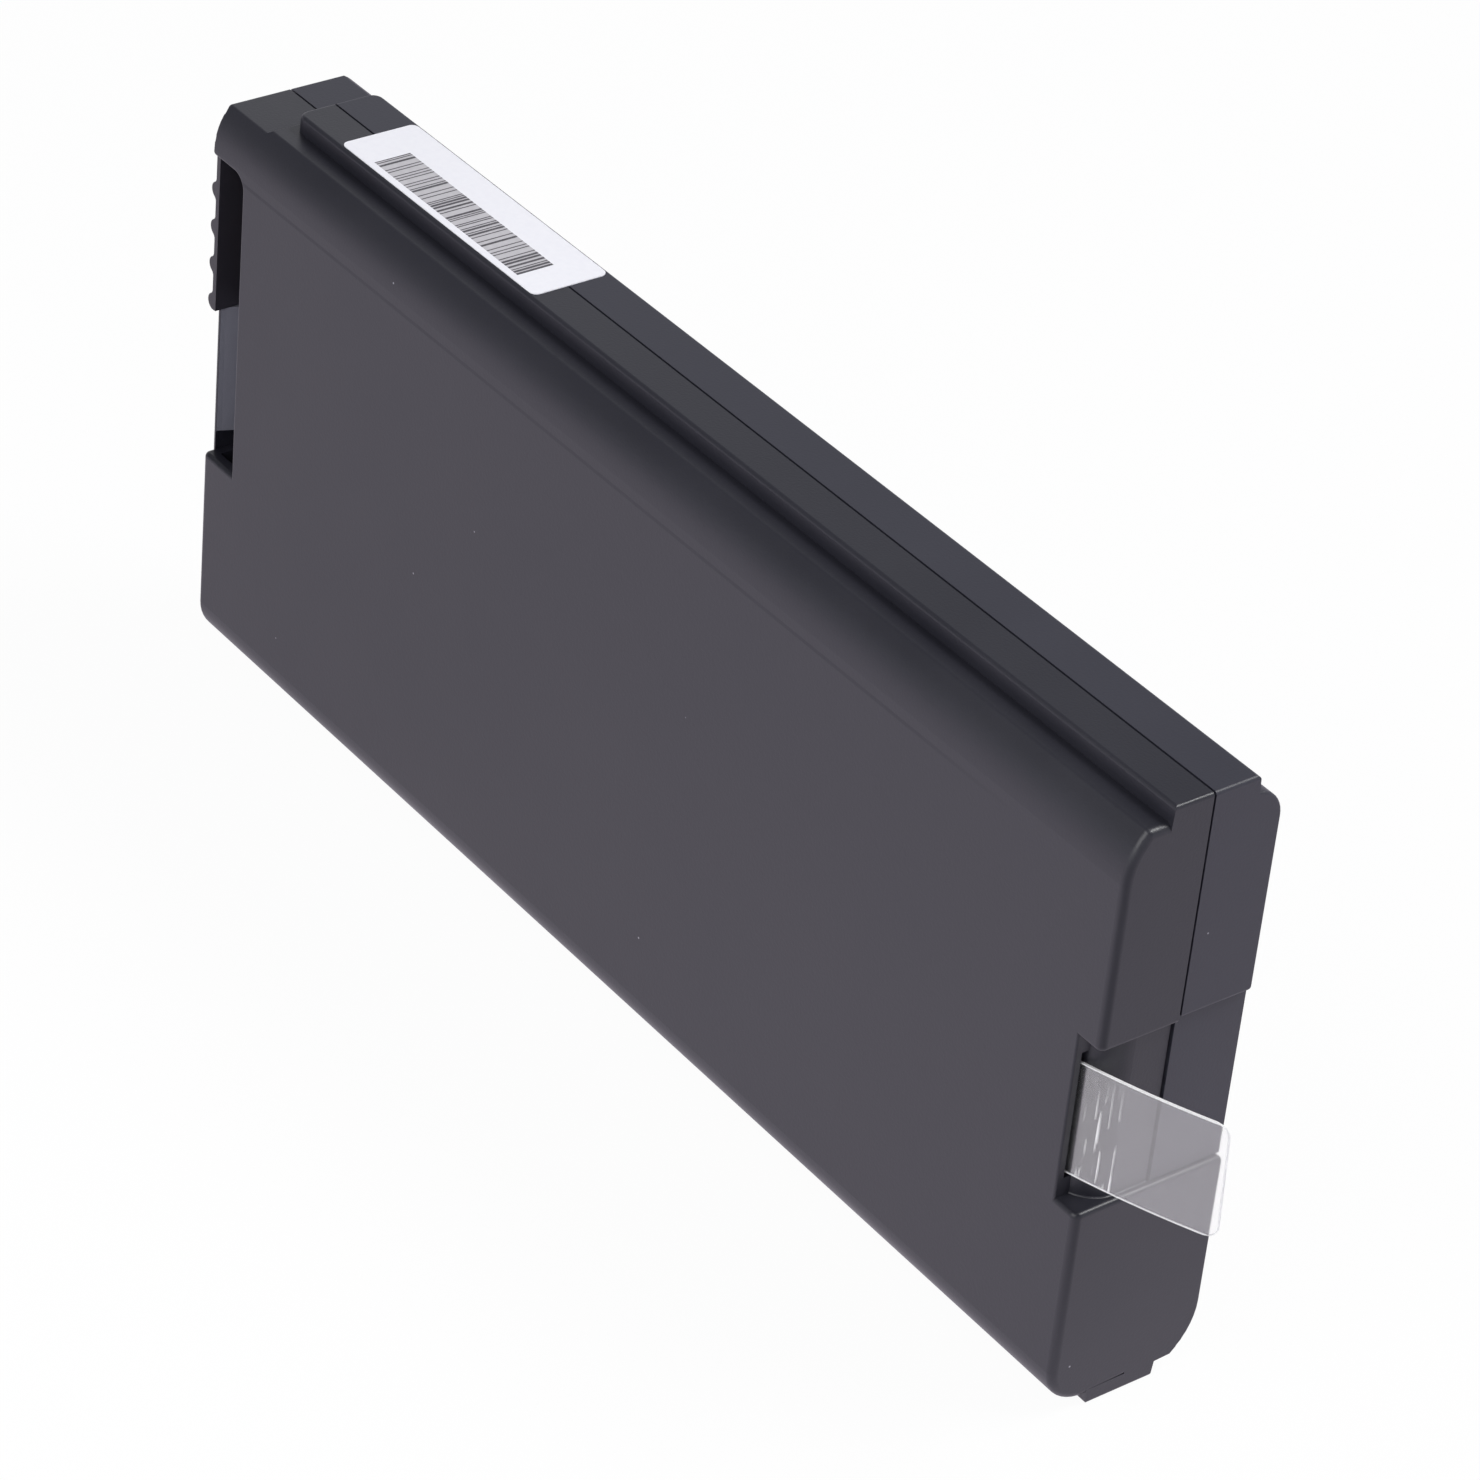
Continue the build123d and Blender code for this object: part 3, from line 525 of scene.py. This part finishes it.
def seamless_floor():
    """Pale floor: white to the camera and through film, dimmed by masks in mirrors, with a trace of shadow."""
    material, tree, place = start_finish("pale_floor")
    rays = add(tree, "LightPath")
    across = add(tree, "SeparateXYZ", {"Vector": place})
    near = add(tree, "MapRange", {"Value": across.outputs["X"], "From Min": left_fall[0],
                                  "From Max": left_fall[1],
                                  "To Min": left_share}, interpolation_type="SMOOTHSTEP")
    far = add(tree, "MapRange", {"Value": across.outputs["X"], "From Min": far_fall[0],
                                 "From Max": far_fall[1],
                                 "To Min": far_share}, interpolation_type="SMOOTHSTEP")
    away = add(tree, "MapRange", {"Value": across.outputs["Y"], "From Min": far_from[0],
                                  "From Max": far_from[1]}, interpolation_type="SMOOTHSTEP")
    left = add(tree, "Mix", {"Factor": away.outputs["Result"], "A": near.outputs["Result"],
                             "B": far.outputs["Result"]}, data_type="FLOAT")
    right = add(tree, "MapRange", {"Value": across.outputs["X"], "From Min": right_fall[0],
                                   "From Max": right_fall[1],
                                   "To Min": 1.0, "To Max": right_share}, interpolation_type="SMOOTHSTEP")
    beyond = add(tree, "MapRange", {"Value": across.outputs["X"], "From Min": dark_card_x[0],
                                    "From Max": dark_card_x[1]}, interpolation_type="SMOOTHSTEP")
    before = add(tree, "MapRange", {"Value": across.outputs["Y"], "From Min": dark_card_y[0],
                                    "From Max": dark_card_y[1]}, interpolation_type="SMOOTHSTEP")
    on_card = where_all(tree, beyond.outputs["Result"], before.outputs["Result"])
    card = add(tree, "MapRange", {"Value": on_card, "To Min": 1.0, "To Max": dark_card})
    lit = where_all(tree, left.outputs["Result"], right.outputs["Result"], card.outputs["Result"])
    seen = add(tree, "Math", {0: rays.outputs["Is Camera Ray"], 1: rays.outputs["Is Transmission Ray"]},
               operation="MAXIMUM")
    share = add(tree, "Math", {0: seen.outputs[0], 1: rays.outputs["Is Glossy Ray"]}, operation="MAXIMUM")
    strength = add(tree, "Math", {0: seen.outputs[0], 1: lit}, operation="MAXIMUM")
    matte = add(tree, "BsdfDiffuse", {"Color": linear(floor_shade)})
    cast = add(tree, "Mix", {"Factor": seen.outputs[0], "A": linear(mirrored_shade), "B": (1, 1, 1, 1)},
               data_type="RGBA")
    white = add(tree, "Emission", {"Color": cast.outputs["Result"], "Strength": strength.outputs[0]})
    part = add(tree, "Math", {0: share.outputs[0], 1: white_share}, operation="MULTIPLY")
    mixed = add(tree, "MixShader", {0: part.outputs[0], 1: matte.outputs[0], 2: white.outputs[0]})
    close_finish(tree, mixed)
    return material


corners = np.array([(-1, -1, 0), (1, -1, 0), (1, 1, 0), (-1, 1, 0)]) * floor_size / 2
floor = make_piece("floor", corners, np.array([(0, 1, 2, 3)]), [seamless_floor()])

world = bpy.data.worlds.new("studio")
bpy.context.scene.world = world
world.use_nodes = True
studio = world.node_tree
studio.nodes.clear()
toward = add(studio, "TexCoord").outputs["Generated"]
direction = add(studio, "SeparateXYZ", {"Vector": toward})
low = add(studio, "MapRange", {"Value": direction.outputs["Z"], "From Min": wall_top[1],
                               "From Max": wall_top[0]}, interpolation_type="SMOOTHSTEP")
facing = add(studio, "VectorMath", {0: toward, 1: wall_axis}, operation="DOT_PRODUCT")
behind = add(studio, "MapRange", {"Value": facing.outputs["Value"], "From Min": wall_side[0],
                                  "From Max": wall_side[1], "To Max": wall_strength},
             interpolation_type="SMOOTHSTEP")
wall = where_all(studio, low.outputs["Result"], behind.outputs["Result"])
aside = add(studio, "VectorMath", {0: toward, 1: card_side}, operation="DOT_PRODUCT")
beside = add(studio, "MapRange", {"Value": aside.outputs["Value"], "From Min": card_edge[0],
                                  "From Max": card_edge[1], "To Max": card_strength},
             interpolation_type="SMOOTHSTEP")
under = add(studio, "MapRange", {"Value": direction.outputs["Z"], "From Min": card_top[1],
                                 "From Max": card_top[0]}, interpolation_type="SMOOTHSTEP")
card = where_all(studio, beside.outputs["Result"], under.outputs["Result"])
bright = add(studio, "Math", {0: wall, 1: card}, operation="MAXIMUM")
sky = add(studio, "Mix", {"Factor": bright.outputs[0], "A": dark_sky, "B": linear(wall_shade)},
          data_type="RGBA")
light = add(studio, "Background", {"Color": sky.outputs["Result"], "Strength": 1.0})
add(studio, "OutputWorld", {"Surface": light.outputs[0]})


def softbox(name, place, aim, width, height, power):
    """A rectangular soft light at a place, turned to face a point."""
    lamp = bpy.data.lights.new(name, "AREA")
    lamp.shape = "RECTANGLE"
    lamp.size = width
    lamp.size_y = height
    lamp.energy = power
    box = bpy.data.objects.new(name, lamp)
    box.location = place
    box.rotation_euler = (Vector(aim) - Vector(place)).to_track_quat("-Z", "Y").to_euler()
    box.visible_camera = False
    bpy.context.scene.collection.objects.link(box)


middle = (cad_box[0] + cad_box[1]) / 2
softbox("end_box", (0.38, 0.52, 0.98), middle, 0.48, 0.36, 7.5)
softbox("left_box", (-1.10, 0.50, 0.50), middle, 0.6, 0.5, 0.5)
softbox("front_box", (0.10, -0.30, 0.30), middle, 0.3, 0.3, 0.8)

# Camera: a long lens, as far from the pack and as tilted as in the photograph.
# Its place and turn come from a fit to the pack's straight edges and corners.
camera_place = Vector((449.77, -360.76, 429.65)) * MM
camera_right = Vector((0.58874, 0.80396, 0.08380))
camera_down = Vector((0.49657, -0.27793, -0.82230))
sensor_width = 36.0
focal_pixels = 5636.8
image_pixels = 1480

camera_data = bpy.data.cameras.new("camera")
camera_data.sensor_width = sensor_width
camera_data.lens = sensor_width * focal_pixels / image_pixels
camera = bpy.data.objects.new("camera", camera_data)
turn = Matrix((camera_right, -camera_down, camera_right.cross(-camera_down))).transposed()
camera.matrix_world = Matrix.Translation(camera_place) @ turn.to_4x4()
bpy.context.scene.collection.objects.link(camera)
bpy.context.scene.camera = camera
bpy.context.scene.view_settings.view_transform = "Standard"
